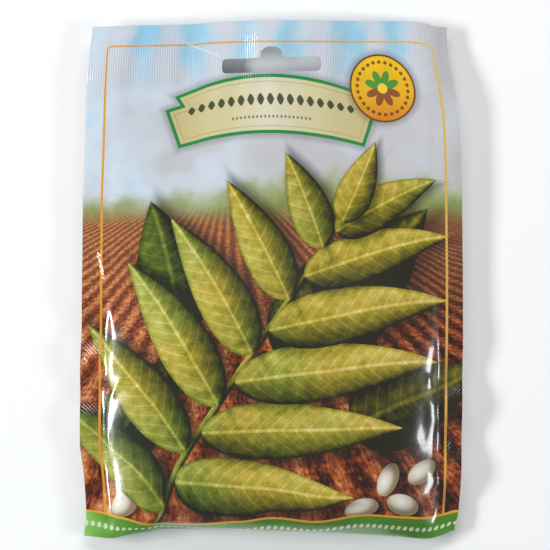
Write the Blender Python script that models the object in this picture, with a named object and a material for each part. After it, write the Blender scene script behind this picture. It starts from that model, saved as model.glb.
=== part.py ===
"""A printed film seed packet lying on its back, with the bean seeds that it holds.

Millimetres inside this file, metres in the meshes. +Z is up, +Y points to the packet's hanging
end and +X to the right of the printed front. The film is one sheet folded along the bottom
edge and sealed to itself along both sides and the top. s runs across the flat sheet, t runs
up it from the fold.
"""

import math
import random

import bmesh
import bpy
import numpy as np

# Flat size of the packet, from the 32 mm hanging slot as the scale.
WIDTH = 120.0
HEIGHT = 162.0
PLY = 0.12
SIDE_SEAL = 7.5
TOP_SEAL = 20.0
FOLD_TIP = 0.8
POUCH_GAP = 0.3

# How the packet lies: thickest height, height of the side seals, and the filled length.
THICK = 13.8
SEAL_REST = 4.0
FILL_START = 52.0
FILL_END = 106.0
FOLD_RISE = 15.0
BACK_FLAT = 2.4

# Outline seen from above, each pair a place along the edge and the edge's position.
LEFT_EDGE = ((0, 58.8), (6, 58.1), (18, 58.7), (30, 60.0), (45, 60.0), (75, 59.4),
             (105, 59.1), (125, 58.4), (141, 57.8), (154, 56.9), (162, 56.1))
RIGHT_EDGE = ((0, 57.4), (6, 58.7), (18, 59.4), (45, 59.8), (70, 60.0), (105, 59.7),
              (125, 59.2), (134, 58.7), (141, 57.5), (148, 56.2), (155, 55.2), (162, 55.0))
TOP_EDGE = ((-60, 160.6), (-46, 160.9), (-26, 161.5), (-20, 162.1), (-6, 162.5),
            (46, 162.5), (52, 161.9), (56, 160.9), (60, 160.6))
FOLD_EDGE = ((-60, 0.9), (-51, 0.3), (-46, 1.3), (-40, 2.2), (-34, 3.3), (-26, 3.2), (-8, 2.8),
             (12, 2.2), (32, 1.6), (42, 0.9), (51, 0.1), (55, 0.9), (60, 2.6))
CENTRE_Y = 81.3

# Puckers along the side seals, each a place t, a height and a half length.
LEFT_PUCKERS = ((78, 0.9, 6), (66, -1.0, 6), (55, 1.0, 6), (45, -1.3, 5), (35, 0.9, 6),
                (23, -0.5, 6), (9, 0.4, 5))
RIGHT_PUCKERS = ((62, 0.5, 7), (51, -0.9, 6), (41, 1.0, 6), (30, -1.1, 6), (19, 0.9, 5),
                 (9, -0.6, 4))

# Hanging slot, in the plan seen from above.
SLOT_LENGTH = 31.2
SLOT_WIDTH = 4.6
SLOT_Y = 148.6
SLOT_TILT = 0.024
SLOT_CORNER = 1.5
HUMP_HALF = 3.7
HUMP_TOP = 5.9

# Needle vent through the back film, which lets air out of the filled packet.
VENT_RADIUS = 0.5
VENT_T = 80.0

# The seeds inside.
SEEDS = 36
SEED_LONG = 13.0
SEED_WIDE = 7.6
SEED_THICK = 6.0
SEED_BEND = 1.0
SEED_CLEAR = 0.35
SEED_RANDOM = 41
SEED_ROOM = 0.52
SEED_CENTRE = 42.0

FILM_COLOUR = (0.27, 0.22, 0.09, 1.0)
SEED_COLOUR = (0.72, 0.62, 0.46, 1.0)


def clear_scene():
    for thing in list(bpy.data.objects):
        bpy.data.objects.remove(thing, do_unlink=True)


def smooth(low, high, value):
    part = np.clip((value - low) / (high - low), 0.0, 1.0)
    return part * part * (3.0 - 2.0 * part)


def along(points, value):
    """A smooth curve through the given points that never passes beyond them."""
    places = np.array([p[0] for p in points], float)
    heights = np.array([p[1] for p in points], float)
    value = np.clip(np.asarray(value, float), places[0], places[-1])
    index = np.clip(np.searchsorted(places, value) - 1, 0, len(places) - 2)
    step = places[index + 1] - places[index]
    part = (value - places[index]) / step
    rise = np.diff(heights) / np.diff(places)
    both = rise[:-1] * rise[1:]
    slopes = np.zeros_like(heights)
    slopes[1:-1] = np.where(both > 0, 2 * both / np.where(both > 0, rise[:-1] + rise[1:], 1.0), 0.0)
    h00 = 2 * part**3 - 3 * part**2 + 1
    h10 = part**3 - 2 * part**2 + part
    h01 = -2 * part**3 + 3 * part**2
    h11 = part**3 - part**2
    return (h00 * heights[index] + h10 * step * slopes[index]
            + h01 * heights[index + 1] + h11 * step * slopes[index + 1])


def pouch_half():
    return WIDTH / 2 - SIDE_SEAL


def fill(s, t):
    """How full the pouch is, 1 where the packet is thickest and 0 at the seals."""
    across = np.clip(1.0 - np.abs(s / pouch_half()) ** 2.6, 0.0, 1.0) ** 0.8
    from_fold = np.sin(np.pi / 2 * np.clip(t / FOLD_RISE, 0.0, 1.0))
    end = FILL_END - 12.0 * np.abs(s / pouch_half()) ** 2
    to_end = 1.0 - smooth(FILL_START, end, t)
    return across * from_fold * to_end


def seal_height(s, t):
    """Height of the film's lower face where the two plies are together."""
    top = smooth(98.0, 150.0, t)
    wave = 1.3 * np.sin(2 * np.pi * (s + 8.0) / 62.0) * top
    curl = -2.2 * smooth(42.0, 60.0, s) * smooth(136.0, 162.0, t)
    curl = curl - 1.0 * smooth(44.0, 60.0, -s) * smooth(144.0, 162.0, t)
    ears = -1.6 * smooth(40.0, 60.0, np.abs(s)) * (1.0 - smooth(0.0, 26.0, t))
    near_left = np.exp(-(((WIDTH / 2 + s) / 15.0) ** 2))
    near_right = np.exp(-(((WIDTH / 2 - s) / 15.0) ** 2))
    pucker = 0.0
    for place, height, half in LEFT_PUCKERS:
        pucker = pucker + near_left * height * np.exp(-(((t - place) / half) ** 2))
    for place, height, half in RIGHT_PUCKERS:
        pucker = pucker + near_right * height * np.exp(-(((t - place) / half) ** 2))
    return SEAL_REST + wave + curl + ears + pucker


def film_faces(s, t):
    """Heights of the upper and the lower outer face of the packet."""
    full = fill(s, t)
    seal = seal_height(s, t)
    flat = np.clip(BACK_FLAT * full, 0.0, 1.0)
    lower = seal * (1.0 - flat)
    edge = np.minimum(pouch_half() - np.abs(s), HEIGHT - TOP_SEAL - t)
    loose = POUCH_GAP * smooth(0.0, 4.0, edge) * smooth(0.0, 4.0, t)
    upper = (seal + 2 * PLY + loose) * (1.0 - full) + THICK * full
    return upper, lower


def plan(columns, rows):
    """Plan position of each crossing of the columns and rows, kept near the flat lengths."""
    fine_s = np.linspace(-WIDTH / 2, WIDTH / 2, 481)
    fine_t = np.linspace(0.0, HEIGHT, 649)
    grid_s, grid_t = np.meshgrid(fine_s, fine_t)
    upper, lower = film_faces(grid_s, grid_t)
    run_x = np.zeros_like(upper)
    run_y = np.zeros_like(upper)
    for face in (upper, lower):
        step_x = np.diff(face, axis=1)
        step_y = np.diff(face, axis=0)
        ds = fine_s[1] - fine_s[0]
        dt = fine_t[1] - fine_t[0]
        run_x[:, 1:] += np.cumsum(np.sqrt(np.clip(ds**2 - step_x**2, 0.04 * ds**2, None)), axis=1)
        run_y[1:, :] += np.cumsum(np.sqrt(np.clip(dt**2 - step_y**2, 0.04 * dt**2, None)), axis=0)
    left = along(LEFT_EDGE, fine_t)[:, None]
    right = along(RIGHT_EDGE, fine_t)[:, None]
    fold = along(FOLD_EDGE, fine_s)[None, :]
    top = along(TOP_EDGE, fine_s)[None, :]
    x = -left + (left + right) * run_x / run_x[:, -1:]
    y = fold + (top - fold) * run_y / run_y[-1:, :]
    at_s = np.interp(columns, fine_s, np.arange(len(fine_s)))
    at_t = np.interp(rows, fine_t, np.arange(len(fine_t)))
    take_s = np.rint(at_s).astype(int)
    take_t = np.rint(at_t).astype(int)
    return x[np.ix_(take_t, take_s)], y[np.ix_(take_t, take_s)] - CENTRE_Y


def columns_and_rows():
    inside = np.linspace(-pouch_half(), pouch_half(), 23)
    seal = (WIDTH / 2, WIDTH / 2 - SIDE_SEAL / 2)
    columns = np.concatenate([[-seal[0], -seal[1]], inside, [seal[1], seal[0]]])
    near_fold = (0.0, FOLD_TIP, 2.5, 5.0, 8.5)
    filled = np.linspace(12.5, 104.0, 21)
    loose = np.linspace(104.0, HEIGHT - TOP_SEAL, 7)[1:]
    seal_rows = np.linspace(HEIGHT - TOP_SEAL, HEIGHT, 5)[1:]
    rows = np.concatenate([near_fold, filled, loose, seal_rows])
    return np.round(columns * 4) / 4, np.round(rows * 4) / 4


def add_object(name, mesh_data, colour, roughness):
    mesh = bpy.data.meshes.new(name)
    mesh_data.to_mesh(mesh)
    mesh_data.free()
    thing = bpy.data.objects.new(name, mesh)
    bpy.context.scene.collection.objects.link(thing)
    material = bpy.data.materials.new(name)
    material.use_nodes = True
    shader = material.node_tree.nodes["Principled BSDF"]
    shader.inputs["Base Color"].default_value = colour
    shader.inputs["Roughness"].default_value = roughness
    mesh.materials.append(material)
    return thing


def make_film():
    """One closed body: outer faces, the pouch inside, and a rim all round."""
    columns, rows = columns_and_rows()
    x, y = plan(columns, rows)
    s, t = np.meshgrid(columns, rows)
    upper, lower = film_faces(s, t)
    lean_upper = np.hypot(np.gradient(upper, axis=1) / np.gradient(x, axis=1),
                          np.gradient(upper, axis=0) / np.gradient(y, axis=0))
    lean_lower = np.hypot(np.gradient(lower, axis=1) / np.gradient(x, axis=1),
                          np.gradient(lower, axis=0) / np.gradient(y, axis=0))
    under = upper - PLY * np.sqrt(1.0 + np.minimum(lean_upper, 3.0) ** 2)
    over = lower + PLY * np.sqrt(1.0 + np.minimum(lean_lower, 3.0) ** 2)
    half = pouch_half()
    first = int(np.argmin(np.abs(columns + half)))
    last = int(np.argmin(np.abs(columns - half)))
    low = 1
    high = int(np.argmin(np.abs(rows - (HEIGHT - TOP_SEAL))))

    made = bmesh.new()

    def layer(heights):
        return [[made.verts.new((x[j, i] / 1000, y[j, i] / 1000, heights[j, i] / 1000))
                 for i in range(len(columns))] for j in range(len(rows))]

    def two(a, b, c, d, up):
        """Two triangles of the cell a b c d, which always split along a c."""
        for face in ((a, b, c), (a, c, d)):
            made.faces.new(face if up else face[::-1])

    top = layer(upper)
    bottom = layer(lower)
    for j in range(len(rows) - 1):
        for i in range(len(columns) - 1):
            two(top[j][i], top[j][i + 1], top[j + 1][i + 1], top[j + 1][i], True)
            two(bottom[j][i], bottom[j][i + 1], bottom[j + 1][i + 1], bottom[j + 1][i], False)
    ring = ([(0, i) for i in range(len(columns))]
            + [(j, len(columns) - 1) for j in range(1, len(rows))]
            + [(len(rows) - 1, i) for i in range(len(columns) - 2, -1, -1)]
            + [(j, 0) for j in range(len(rows) - 2, 0, -1)])
    for (j, i), (n, m) in zip(ring, ring[1:] + ring[:1]):
        two(bottom[j][i], bottom[n][m], top[n][m], top[j][i], True)

    roof = {}
    floor = {}
    for j in range(low, high + 1):
        for i in range(first, last + 1):
            place = (x[j, i] / 1000, y[j, i] / 1000)
            if j in (low, high) or i in (first, last):
                middle = made.verts.new((*place, (upper[j, i] + lower[j, i]) / 2000))
                roof[j, i] = floor[j, i] = middle
            else:
                roof[j, i] = made.verts.new((*place, under[j, i] / 1000))
                floor[j, i] = made.verts.new((*place, over[j, i] / 1000))
    border = {roof[place] for place in roof if roof[place] is floor[place]}
    for j in range(low, high):
        for i in range(first, last):
            for sheet, up in ((roof, False), (floor, True)):
                corners = (sheet[j, i], sheet[j, i + 1], sheet[j + 1, i + 1], sheet[j + 1, i])
                for face in ((corners[0], corners[1], corners[2]),
                             (corners[0], corners[2], corners[3])):
                    if not all(v in border for v in face):
                        made.faces.new(face if up else face[::-1])
    return add_object("film", made, FILM_COLOUR, 0.25)


def slot_outline():
    """The hanging slot's outline: a rounded bar with a hump on its upper side."""
    half = SLOT_LENGTH / 2
    low = -SLOT_WIDTH / 2
    high = SLOT_WIDTH / 2
    points = []
    for cx, cy, start in ((half - SLOT_CORNER, low + SLOT_CORNER, -90),
                          (half - SLOT_CORNER, high - SLOT_CORNER, 0)):
        for angle in (0, 30, 60, 90):
            turn = math.radians(start + angle)
            points.append((cx + SLOT_CORNER * math.cos(turn), cy + SLOT_CORNER * math.sin(turn)))
    for angle in range(0, 181, 20):
        turn = math.radians(angle)
        points.append((HUMP_HALF * math.cos(turn),
                       high + (HUMP_TOP - high) * math.sin(turn)))
    for cx, cy, start in ((-half + SLOT_CORNER, high - SLOT_CORNER, 90),
                          (-half + SLOT_CORNER, low + SLOT_CORNER, 180)):
        for angle in (0, 30, 60, 90):
            turn = math.radians(start + angle)
            points.append((cx + SLOT_CORNER * math.cos(turn), cy + SLOT_CORNER * math.sin(turn)))
    return [(px, py + SLOT_Y - CENTRE_Y + SLOT_TILT * px) for px, py in points]


def add_cutter(name, outline, low, high):
    made = bmesh.new()
    under = [made.verts.new((px / 1000, py / 1000, low / 1000)) for px, py in outline]
    over = [made.verts.new((px / 1000, py / 1000, high / 1000)) for px, py in outline]
    made.faces.new(under[::-1])
    made.faces.new(over)
    for a, b, c, d in zip(under, under[1:] + under[:1], over[1:] + over[:1], over):
        made.faces.new((a, b, c, d))
    cutter = add_object(name, made, FILM_COLOUR, 0.5)
    cutter.hide_render = True
    cutter.display_type = "WIRE"
    return cutter


def cut(body, cutter):
    hole = body.modifiers.new(cutter.name, "BOOLEAN")
    hole.operation = "DIFFERENCE"
    hole.solver = "EXACT"
    hole.object = cutter


def make_holes(film):
    cut(film, add_cutter("slot_cutter", slot_outline(), -5.0, 25.0))
    x, y = plan(np.array([0.0]), np.array([VENT_T]))
    lower = film_faces(np.array([0.0]), np.array([VENT_T]))[1]
    ring = [(x[0, 0] + VENT_RADIUS * math.cos(math.radians(60 * k + 10)),
             y[0, 0] + 2.0 + VENT_RADIUS * math.sin(math.radians(60 * k + 10)))
            for k in range(6)]
    level = float(lower[0])
    cut(film, add_cutter("vent_cutter", ring, level - 3.0, level + PLY + 0.4))


def seed_spots():
    """Plan place and turn of each seed, pushed apart until none touches another."""
    rng = random.Random(SEED_RANDOM)
    reach = SEED_LONG / 2 - SEED_WIDE / 2
    apart = SEED_WIDE + 2 * SEED_CLEAR + 0.3
    spots = [[rng.uniform(-38.0, 38.0), rng.uniform(14.0, 68.0),
              rng.uniform(0, math.pi)] for _ in range(SEEDS)]

    def dots(spot):
        x, y, turn = spot
        return [(x + k * reach * math.cos(turn), y + k * reach * math.sin(turn))
                for k in (-1.0, -0.5, 0.0, 0.5, 1.0)]

    for _ in range(900):
        moved = False
        for a in range(SEEDS):
            for b in range(a + 1, SEEDS):
                best = min(((p[0] - q[0], p[1] - q[1]) for p in dots(spots[a])
                            for q in dots(spots[b])), key=lambda d: math.hypot(*d))
                gap = math.hypot(*best)
                if gap < apart:
                    push = 0.55 * (apart - gap) / max(gap, 0.01)
                    spots[a][0] += push * best[0]
                    spots[a][1] += push * best[1]
                    spots[b][0] -= push * best[0]
                    spots[b][1] -= push * best[1]
                    spots[a][2] += 0.02 * push
                    moved = True
        for spot in spots:
            lack = SEED_ROOM - min(float(fill(px, py - 2.5)) for px, py in dots(spot))
            if lack > 0:
                spot[0] *= 1.0 - 0.5 * lack
                spot[1] += (SEED_CENTRE - spot[1]) * 0.5 * lack
                moved = moved or lack > 0.005
        if not moved:
            break
    return spots


def add_seed(name, spot):
    """A kidney-shaped seed lying on the back film."""
    x0, y0, turn = spot
    made = bmesh.new()
    around = 8
    stations = (-0.9, -0.6, -0.2, 0.2, 0.6, 0.9)
    half = SEED_LONG / 2

    def place(u, v, w):
        v = v - SEED_BEND * (1.0 - (u / half) ** 2) + SEED_BEND * 0.5
        px = x0 + u * math.cos(turn) - v * math.sin(turn)
        py = y0 + u * math.sin(turn) + v * math.cos(turn)
        return px / 1000, (py - CENTRE_Y) / 1000, w / 1000

    rest = PLY * 1.1 + SEED_CLEAR + SEED_THICK / 2
    rings = []
    for station in stations:
        size = (1.0 - abs(station) ** 2.3) ** (1 / 2.3)
        ring = []
        for k in range(around):
            angle = 2 * math.pi * k / around
            ring.append(made.verts.new(place(station * half,
                                             SEED_WIDE / 2 * size * math.cos(angle),
                                             rest + SEED_THICK / 2 * size * math.sin(angle))))
        rings.append(ring)
    start = made.verts.new(place(-half, 0.0, rest))
    end = made.verts.new(place(half, 0.0, rest))
    for k in range(around):
        n = (k + 1) % around
        made.faces.new((start, rings[0][n], rings[0][k]))
        made.faces.new((end, rings[-1][k], rings[-1][n]))
        for a, b in zip(rings, rings[1:]):
            made.faces.new((a[k], a[n], b[n], b[k]))
    bmesh.ops.recalc_face_normals(made, faces=made.faces)
    return add_object(name, made, SEED_COLOUR, 0.4)


def main():
    clear_scene()
    film = make_film()
    make_holes(film)
    for number, spot in enumerate(seed_spots(), 1):
        add_seed(f"bean_{number:02d}", spot)


main()
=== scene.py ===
import math

import bpy
import numpy as np
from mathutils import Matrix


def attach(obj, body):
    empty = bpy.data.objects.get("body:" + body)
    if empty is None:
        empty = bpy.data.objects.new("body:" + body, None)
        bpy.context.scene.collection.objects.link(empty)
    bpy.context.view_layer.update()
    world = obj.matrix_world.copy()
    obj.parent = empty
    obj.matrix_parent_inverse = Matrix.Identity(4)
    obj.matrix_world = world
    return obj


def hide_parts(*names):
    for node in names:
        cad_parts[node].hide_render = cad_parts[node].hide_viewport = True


# A glossy film seed packet lying on its back. Film places are millimetres on the flat sheet:
# s across from its middle, t up from the bottom fold. Places in the frame are metres.

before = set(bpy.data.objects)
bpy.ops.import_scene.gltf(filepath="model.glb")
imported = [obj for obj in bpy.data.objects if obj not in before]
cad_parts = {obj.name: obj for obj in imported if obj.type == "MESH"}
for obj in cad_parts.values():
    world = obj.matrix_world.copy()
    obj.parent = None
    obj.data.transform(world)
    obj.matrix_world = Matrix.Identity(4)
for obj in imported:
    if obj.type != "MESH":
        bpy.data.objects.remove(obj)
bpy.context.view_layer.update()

# Sizes and outline of the packet, as in the part's source.
WIDTH = 120.0
HEIGHT = 162.0
SIDE_SEAL = 7.5
TOP_SEAL = 20.0
POUCH_GAP = 0.3
SEAM = 0.24
PLY = 0.11
THICK = 13.8
SEAL_REST = 4.0
FILL_START = 52.0
FILL_END = 106.0
FOLD_RISE = 15.0
BACK_FLAT = 2.4
CENTRE_Y = 81.3
LEFT_EDGE = ((0, 58.8), (6, 58.1), (18, 58.7), (30, 60.0), (45, 60.0), (75, 59.4),
             (105, 59.1), (125, 58.4), (141, 57.8), (154, 56.9), (162, 56.1))
RIGHT_EDGE = ((0, 57.4), (6, 58.7), (18, 59.4), (45, 59.8), (70, 60.0), (105, 59.7),
              (125, 59.2), (134, 58.7), (141, 57.5), (148, 56.2), (155, 55.2), (162, 55.0))
TOP_EDGE = ((-60, 160.6), (-46, 160.9), (-26, 161.5), (-20, 162.1), (-6, 162.5),
            (46, 162.5), (52, 161.9), (56, 160.9), (60, 160.6))
FOLD_EDGE = ((-60, 0.9), (-51, 0.3), (-46, 1.3), (-40, 2.2), (-34, 3.3), (-26, 3.2), (-8, 2.8),
             (12, 2.2), (32, 1.6), (42, 0.9), (51, 0.1), (55, 0.9), (60, 2.6))
LEFT_PUCKERS = ((78, 0.9, 6), (66, -1.0, 6), (55, 1.0, 6), (45, -1.3, 5), (35, 0.9, 6),
                (23, -0.5, 6), (9, 0.4, 5))
RIGHT_PUCKERS = ((62, 0.5, 7), (51, -0.9, 6), (41, 1.0, 6), (30, -1.1, 6), (19, 0.9, 5),
                 (9, -0.6, 4))

# Sharp creases in the printed front beside the seals: height, half width, then the line.
CREASES = (
    (0.78, 1.1, ((-54.6, 92), (-52.8, 85), (-51.2, 80))),
    (0.34, 1.0, ((-51.8, 77), (-49.4, 66))),
    (0.60, 3.6, ((-58.5, 55.5), (-53.5, 57.5))),
    (0.40, 1.2, ((-53.8, 56), (-52.4, 50), (-51.8, 45), (-51.6, 33))),
    (0.42, 1.1, ((-45.3, 51), (-48.0, 47.5), (-51.2, 43))),
    (0.30, 0.8, ((-51.0, 35), (-50.8, 23))),
    (0.24, 0.7, ((-52.6, 26), (-52.0, 18))),
    (0.34, 0.9, ((-53.4, 15), (-52.0, 6))),
    (0.34, 0.9, ((48.6, 52), (48.8, 48.5))),
    (0.40, 1.9, ((52.0, 40), (51.4, 25))),
    (0.30, 1.4, ((51.6, 20), (51.6, 16))),
    (-0.15, 1.6, ((50.0, 13), (50.0, 5))),
    (0.46, 1.4, ((55.2, 43), (55.0, 18))),
    (-0.20, 2.0, ((47.0, 44), (47.0, 29))),
    (0.30, 0.8, ((26.8, 1), (25.6, 10))),
    (0.30, 0.8, ((46.6, 1), (45.4, 9))),
    (0.25, 0.8, ((-30.5, 1), (-33.0, 10))),
)

# Hanging slot, in the plan seen from above.
SLOT_LENGTH = 31.2
SLOT_WIDTH = 4.6
SLOT_Y = 148.6
SLOT_TILT = 0.024
SLOT_CORNER = 1.5
HUMP_HALF = 3.7
HUMP_TOP = 5.9

# Nothing of the slot lies past these: distance from the middle, and lowest and highest place.
SLOT_OUT = 20
SLOT_LOW = 142
SLOT_HIGH = 158

# The mesh lattice: five points a millimetre. The plan is worked out at four points a millimetre.
PER_MM = 5
PLAN_PER_MM = 4
FINE_SEAL = 7
SLOT_REACH = 0.5
SHORTEST_STEP = 0.04
SHARP_ANGLE = 62
ACROSS = int(WIDTH * PER_MM)
UP = int(HEIGHT * PER_MM)


def smooth(low, high, value):
    part = np.clip((value - low) / (high - low), 0.0, 1.0)
    return part * part * (3.0 - 2.0 * part)


def along(points, value):
    """A smooth curve through the given points that never passes beyond them."""
    places = np.array([p[0] for p in points], float)
    heights = np.array([p[1] for p in points], float)
    value = np.clip(np.asarray(value, float), places[0], places[-1])
    index = np.clip(np.searchsorted(places, value) - 1, 0, len(places) - 2)
    step = places[index + 1] - places[index]
    part = (value - places[index]) / step
    rise = np.diff(heights) / np.diff(places)
    both = rise[:-1] * rise[1:]
    slopes = np.zeros_like(heights)
    slopes[1:-1] = np.where(both > 0, 2 * both / np.where(both > 0, rise[:-1] + rise[1:], 1.0), 0.0)
    h00 = 2 * part**3 - 3 * part**2 + 1
    h10 = part**3 - 2 * part**2 + part
    h01 = -2 * part**3 + 3 * part**2
    h11 = part**3 - part**2
    return (h00 * heights[index] + h10 * step * slopes[index]
            + h01 * heights[index + 1] + h11 * step * slopes[index + 1])


def fill(s, t):
    """How full the pouch is, 1 where the packet is thickest and 0 at the seals."""
    half = WIDTH / 2 - SIDE_SEAL
    across = np.clip(1.0 - np.abs(s / half) ** 2.6, 0.0, 1.0) ** 0.8
    from_fold = np.sin(np.pi / 2 * np.clip(t / FOLD_RISE, 0.0, 1.0))
    end = FILL_END - 12.0 * np.abs(s / half) ** 2
    return across * from_fold * (1.0 - smooth(FILL_START, end, t))


def seal_height(s, t):
    """Height of the film's lower face where the two plies are together."""
    top = smooth(98.0, 150.0, t)
    wave = 1.3 * np.sin(2 * np.pi * (s + 8.0) / 62.0) * top
    curl = -2.2 * smooth(42.0, 60.0, s) * smooth(136.0, 162.0, t)
    curl = curl - 1.0 * smooth(44.0, 60.0, -s) * smooth(144.0, 162.0, t)
    ears = -1.6 * smooth(40.0, 60.0, np.abs(s)) * (1.0 - smooth(0.0, 26.0, t))
    near_left = np.exp(-(((WIDTH / 2 + s) / 15.0) ** 2))
    near_right = np.exp(-(((WIDTH / 2 - s) / 15.0) ** 2))
    pucker = 0.0
    for place, height, half in LEFT_PUCKERS:
        pucker = pucker + near_left * height * np.exp(-(((t - place) / half) ** 2))
    for place, height, half in RIGHT_PUCKERS:
        pucker = pucker + near_right * height * np.exp(-(((t - place) / half) ** 2))
    return SEAL_REST + wave + curl + ears + pucker


def film_faces(s, t):
    """Heights of the upper and the lower outer face of the packet."""
    full = fill(s, t)
    seal = seal_height(s, t)
    lower = seal * (1.0 - np.clip(BACK_FLAT * full, 0.0, 1.0))
    edge = np.minimum(WIDTH / 2 - SIDE_SEAL - np.abs(s), HEIGHT - TOP_SEAL - t)
    loose = POUCH_GAP * smooth(0.0, 4.0, edge) * smooth(0.0, 4.0, t)
    upper = (seal + SEAM + loose) * (1.0 - full) + THICK * full
    return upper, lower


def plan_map():
    """Plan position over a quarter millimetre grid of the sheet, kept near the flat lengths."""
    fine_s = np.linspace(-WIDTH / 2, WIDTH / 2, int(WIDTH * PLAN_PER_MM) + 1)
    fine_t = np.linspace(0.0, HEIGHT, int(HEIGHT * PLAN_PER_MM) + 1)
    upper, lower = film_faces(*np.meshgrid(fine_s, fine_t))
    run_x = np.zeros_like(upper)
    run_y = np.zeros_like(upper)
    ds = fine_s[1] - fine_s[0]
    dt = fine_t[1] - fine_t[0]
    for face in (upper, lower):
        step_x = ds**2 - np.diff(face, axis=1) ** 2
        step_y = dt**2 - np.diff(face, axis=0) ** 2
        step_x = np.sqrt(np.clip(step_x, SHORTEST_STEP * ds**2, None))
        step_y = np.sqrt(np.clip(step_y, SHORTEST_STEP * dt**2, None))
        run_x[:, 1:] += np.cumsum(step_x, axis=1)
        run_y[1:, :] += np.cumsum(step_y, axis=0)
    left = along(LEFT_EDGE, fine_t)[:, None]
    right = along(RIGHT_EDGE, fine_t)[:, None]
    fold = along(FOLD_EDGE, fine_s)[None, :]
    top = along(TOP_EDGE, fine_s)[None, :]
    x = -left + (left + right) * run_x / run_x[:, -1:]
    y = fold + (top - fold) * run_y / run_y[-1:, :] - CENTRE_Y
    return x, y


def read_grid(grid, s, t):
    """The grid's value between its points."""
    u = np.clip((s + WIDTH / 2) * PLAN_PER_MM, 0, grid.shape[1] - 1.001)
    v = np.clip(t * PLAN_PER_MM, 0, grid.shape[0] - 1.001)
    i = u.astype(int)
    j = v.astype(int)
    a = u - i
    b = v - j
    low = grid[j, i] * (1 - a) + grid[j, i + 1] * a
    high = grid[j + 1, i] * (1 - a) + grid[j + 1, i + 1] * a
    return low * (1 - b) + high * b


def from_line(s, t, line):
    """Distance of each place from a broken line, and how far along it from 0 to 1."""
    best = np.full(s.shape, 1e6)
    where = np.zeros(s.shape)
    steps = len(line) - 1
    for k, (a, b) in enumerate(zip(line, line[1:])):
        dx = b[0] - a[0]
        dy = b[1] - a[1]
        part = np.clip(((s - a[0]) * dx + (t - a[1]) * dy) / (dx * dx + dy * dy), 0.0, 1.0)
        gap = np.hypot(s - a[0] - part * dx, t - a[1] - part * dy)
        where = np.where(gap < best, (k + part) / steps, where)
        best = np.minimum(best, gap)
    return best, where


def small_shape(s, t):
    """The small waves and creases that the film takes as it is handled."""
    top = smooth(112.0, 148.0, t)
    drift = 1.6 * np.sin(t / 19.0)
    ripple = 0.20 * np.sin(2 * np.pi * (s + 2.5 + drift) / 17.8) * top
    ripple = ripple + 0.06 * np.sin(2 * np.pi * (s * 1.13 - 0.2 * t) / 9.7) * top
    loose = smooth(84.0, 104.0, t) * (1.0 - smooth(134.0, 146.0, t))
    soft = 0.30 * np.sin(s / 9.0 + t / 23.0) * np.sin(t / 11.0 + 1.0) * loose
    body = smooth(6.0, 20.0, t) * (1.0 - smooth(70.0, 100.0, t))
    swell = 0.10 * np.sin(s / 5.1 + 1.3) * np.sin(t / 6.3 + s / 17.0) * body
    return ripple + soft + swell


def crease_shape(s, t):
    total = np.zeros(s.shape)
    for height, half, line in CREASES:
        gap, where = from_line(s, t, line)
        ends = smooth(0.0, 0.2, where) * (1.0 - smooth(0.8, 1.0, where))
        total += height * (0.25 + 0.75 * ends) * np.exp(-((gap / half) ** 2))
    return total


def print_slide(s, t):
    """How far the print has slid down over the fold: most left of the middle, and in soft waves."""
    wide = np.where(s < -36, 12.0, 22.0)
    slid = 5.4 * np.exp(-(((s + 36) / wide) ** 2)) + 2.3 * smooth(38, 53, s)
    wave = 0.8 * np.cos(2 * np.pi * (s - 13.5) / 27.0) * smooth(-14, -4, s)
    return (slid + wave) * smooth(0, 3, t) * (1 - smooth(4, 24, t))


def slot_outline():
    """The hanging slot's outline in the plan: a rounded bar with a hump on its upper side."""
    half = SLOT_LENGTH / 2
    low = -SLOT_WIDTH / 2
    high = SLOT_WIDTH / 2
    corners = ((half - SLOT_CORNER, low + SLOT_CORNER, -90),
               (half - SLOT_CORNER, high - SLOT_CORNER, 0),
               None,
               (-half + SLOT_CORNER, high - SLOT_CORNER, 90),
               (-half + SLOT_CORNER, low + SLOT_CORNER, 180))
    points = []
    for corner in corners:
        if corner is None:
            for angle in np.radians(np.arange(0, 181, 6)):
                rise = (HUMP_TOP - high) * math.sin(angle) ** 0.8
                points.append((HUMP_HALF * math.cos(angle), high + rise))
            continue
        for angle in np.radians(corner[2] + np.arange(0, 91, 10)):
            points.append((corner[0] + SLOT_CORNER * math.cos(angle),
                           corner[1] + SLOT_CORNER * math.sin(angle)))
    return np.array([(x, y + SLOT_Y - CENTRE_Y + SLOT_TILT * x) for x, y in points])


def inside(outline, x, y):
    """True for each place inside the closed outline."""
    found = np.zeros(x.shape, bool)
    for (ax, ay), (bx, by) in zip(outline, np.roll(outline, -1, axis=0)):
        if ay == by:
            continue
        crosses = (ay > y) != (by > y)
        found ^= crosses & (x < (bx - ax) * (y - ay) / (by - ay) + ax)
    return found


def nearest_on(outline, x, y):
    """The nearest point of the closed outline to each place."""
    best = np.full(x.shape, 1e9)
    near_x = x.copy()
    near_y = y.copy()
    for (ax, ay), (bx, by) in zip(outline, np.roll(outline, -1, axis=0)):
        dx = bx - ax
        dy = by - ay
        length = max(dx * dx + dy * dy, 1e-12)
        part = np.clip(((x - ax) * dx + (y - ay) * dy) / length, 0.0, 1.0)
        px = ax + part * dx
        py = ay + part * dy
        gap = np.hypot(x - px, y - py)
        near_x = np.where(gap < best, px, near_x)
        near_y = np.where(gap < best, py, near_y)
        best = np.minimum(best, gap)
    return near_x, near_y, best


plan_x, plan_y = plan_map()
slot_line = slot_outline()


def place_of(u, v):
    """Sheet and plan position of lattice points."""
    s = np.asarray(u) / PER_MM - WIDTH / 2
    t = np.asarray(v) / PER_MM
    return s, t, read_grid(plan_x, s, t), read_grid(plan_y, s, t)


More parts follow.
